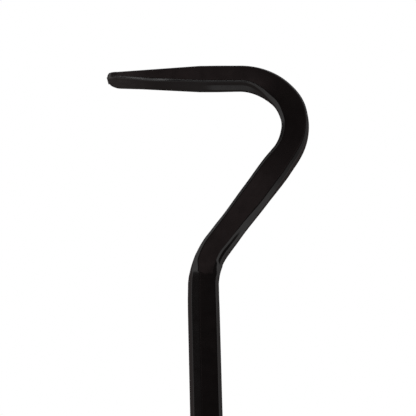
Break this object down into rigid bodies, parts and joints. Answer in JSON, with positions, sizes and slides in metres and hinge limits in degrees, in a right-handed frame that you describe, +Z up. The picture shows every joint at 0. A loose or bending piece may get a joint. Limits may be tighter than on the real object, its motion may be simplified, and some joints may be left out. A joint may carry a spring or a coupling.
{
  "type": "hooked panel lever",
  "caption": "Hand lever forged from chamfered square bar: a double-bent hook with a flattened tip, and a T-handle that turns on the shank and locks with a clamping lever.",
  "frame": {"origin": "on the floor, below the middle of the tool's length and the shank's axis; the tool lies flat on its hub and grips", "axes": "+Y along the shank towards the hook, +X to the side the hook bulges to (its tip points to -X), +Z up, across the hook's plane"},
  "size_m": [0.252, 0.6037, 0.0631],
  "materials": {
    "bar_paint": "semi-gloss black paint over forged steel",
    "hub_paint": "semi-gloss black paint",
    "lever_coat": "fine-textured black powder coat",
    "turned_steel": "turned",
    "spring_steel": "oiled",
    "screw_black": "black oxide",
    "bronze": "turned bronze",
    "plated_tube": "satin plated",
    "grip_rubber": "matt moulded rubber",
    "cap_plastic": "moulded, fine texture"
  },
  "bodies": {
    "lever_bar": {"hook_bar": "bar_paint", "stop_collar": "turned_steel", "collar_pin": "turned_steel", "rear_washer": "turned_steel", "retaining_ring": "spring_steel"},
    "handle": {"hub": "hub_paint", "hub_bush": "bronze", "thrust_washer": "turned_steel", "hub_cap": "cap_plastic", "cross_tube": "plated_tube", "tube_pin": "spring_steel", "grip_left": "grip_rubber", "grip_right": "grip_rubber", "end_plug_left": "cap_plastic", "end_plug_right": "cap_plastic", "clamp_washer": "turned_steel"},
    "clamp_bolt": {"clamp_stud": "turned_steel", "clamp_screw": "screw_black", "clamp_spring": "spring_steel"},
    "clamp_arm": {"clamp_lever": "lever_coat"}
  },
  "joints": [
    {"name": "handle_turn", "type": "hinge", "parent": "lever_bar", "child": "handle", "pos_m": [0, -0.24885, 0.016], "axis": [0, 1, 0], "continuous": true},
    {"name": "clamp_turn", "type": "hinge", "parent": "handle", "child": "clamp_bolt", "pos_m": [0.027, -0.24885, 0.016], "axis": [0, 0, 1], "range_deg": [0, 100]},
    {"name": "lever_lift", "type": "slide", "parent": "clamp_bolt", "child": "clamp_arm", "axis": [0, 0, 1], "range_m": [0, 0.004], "stiffness_N_per_m": 1200, "springref_m": -0.002, "deforming": ["clamp_spring"]}
  ]
}
